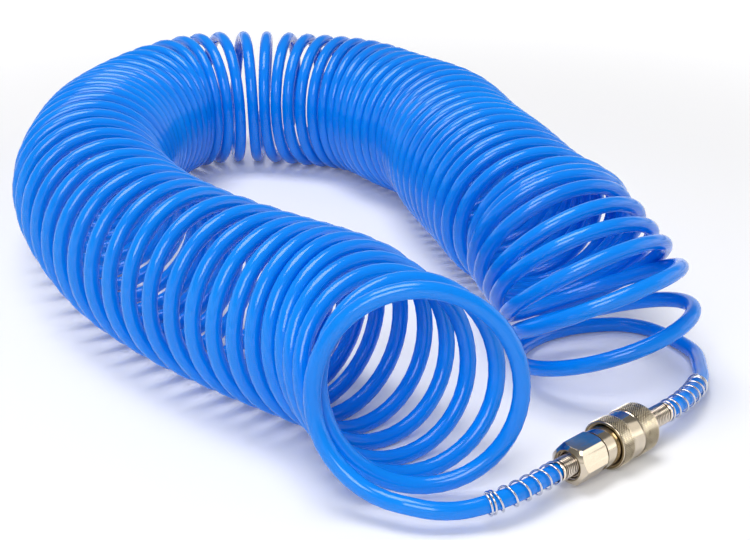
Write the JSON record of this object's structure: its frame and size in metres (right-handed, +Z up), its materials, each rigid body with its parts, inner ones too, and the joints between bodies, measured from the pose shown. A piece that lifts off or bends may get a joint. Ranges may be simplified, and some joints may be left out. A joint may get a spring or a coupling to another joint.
{
  "type": "coiled air hose",
  "caption": "Coiled plastic air hose bent into a horseshoe, its two ends joined by a metal quick coupler with a sprung sleeve, lock balls and a poppet valve.",
  "frame": {"origin": "on the floor, under the middle of the quick coupler", "axes": "+X along the coupler from its socket to its plug, +Y into the horseshoe, +Z up"},
  "size_m": [0.4207, 0.5642, 0.0972],
  "materials": {
    "hose": "glossy, slightly clear blue polyurethane",
    "nickel": "nickel-plated brass, bright, with knurled grip bands",
    "spring_steel": "bright drawn wire",
    "ball_steel": "polished",
    "seal_rubber": "moulded nitrile"
  },
  "bodies": {
    "hose_and_plug": {"coil_end_by_socket": "hose", "coil_left_front": "hose", "coil_left_middle": "hose", "coil_left_back": "hose", "coil_bend_left": "hose", "coil_bend_middle": "hose", "coil_bend_right": "hose", "coil_right_back": "hose", "coil_right_middle": "hose", "coil_end_by_plug": "hose", "socket_tail": "hose", "plug_tail": "hose", "guard_spring_socket": "spring_steel", "guard_spring_plug": "spring_steel", "plug": "nickel", "plug_ferrule": "nickel", "plug_barb": "nickel"},
    "socket": {"socket_ferrule": "nickel", "socket_barb": "nickel", "socket_body": "nickel", "body_seal": "seal_rubber", "socket_nose": "nickel", "valve_guide": "nickel", "valve_spring": "spring_steel", "nose_seal": "seal_rubber", "snap_ring": "spring_steel"},
    "spring_seat": {"sleeve_spring": "spring_steel"},
    "release_sleeve": {"sleeve": "nickel"},
    "valve": {"valve_poppet": "nickel", "valve_seal": "seal_rubber"},
    "ball_1": {"lock_ball_1": "ball_steel"},
    "ball_2": {"lock_ball_2": "ball_steel"},
    "ball_3": {"lock_ball_3": "ball_steel"},
    "ball_4": {"lock_ball_4": "ball_steel"},
    "ball_5": {"lock_ball_5": "ball_steel"},
    "ball_6": {"lock_ball_6": "ball_steel"}
  },
  "joints": [
    {"name": "coupling_swivel", "type": "hinge", "parent": "hose_and_plug", "child": "socket", "pos_m": [0, 0, 0.012], "axis": [1, 0, 0], "range_deg": [-180, 180]},
    {"name": "sleeve_turn", "type": "hinge", "parent": "socket", "child": "spring_seat", "pos_m": [0, 0, 0.012], "axis": [1, 0, 0], "continuous": true},
    {"name": "sleeve_slide", "type": "slide", "parent": "spring_seat", "child": "release_sleeve", "axis": [-1, 0, 0], "range_m": [0, 0.004], "stiffness_N_per_m": 2000, "springref_m": -0.002, "deforming": ["sleeve_spring"]},
    {"name": "valve_slide", "type": "slide", "parent": "socket", "child": "valve", "axis": [-1, 0, 0], "range_m": [0, 0.001], "stiffness_N_per_m": 500, "springref_m": -0.002, "deforming": ["valve_spring"]},
    {"name": "ball_1_slide", "type": "slide", "parent": "socket", "child": "ball_1", "axis": [0, 0, 1], "range_m": [0, 0.0012]},
    {"name": "ball_2_slide", "type": "slide", "parent": "socket", "child": "ball_2", "axis": [0, -0.866, 0.5], "range_m": [0, 0.0012]},
    {"name": "ball_3_slide", "type": "slide", "parent": "socket", "child": "ball_3", "axis": [0, -0.866, -0.5], "range_m": [0, 0.0012]},
    {"name": "ball_4_slide", "type": "slide", "parent": "socket", "child": "ball_4", "axis": [0, 0, -1], "range_m": [0, 0.0012]},
    {"name": "ball_5_slide", "type": "slide", "parent": "socket", "child": "ball_5", "axis": [0, 0.866, -0.5], "range_m": [0, 0.0012]},
    {"name": "ball_6_slide", "type": "slide", "parent": "socket", "child": "ball_6", "axis": [0, 0.866, 0.5], "range_m": [0, 0.0012]}
  ],
  "couplings": [
    {"joint": "ball_1_slide", "follows": "sleeve_slide", "ratio": 0.3},
    {"joint": "ball_2_slide", "follows": "sleeve_slide", "ratio": 0.3},
    {"joint": "ball_3_slide", "follows": "sleeve_slide", "ratio": 0.3},
    {"joint": "ball_4_slide", "follows": "sleeve_slide", "ratio": 0.3},
    {"joint": "ball_5_slide", "follows": "sleeve_slide", "ratio": 0.3},
    {"joint": "ball_6_slide", "follows": "sleeve_slide", "ratio": 0.3}
  ]
}
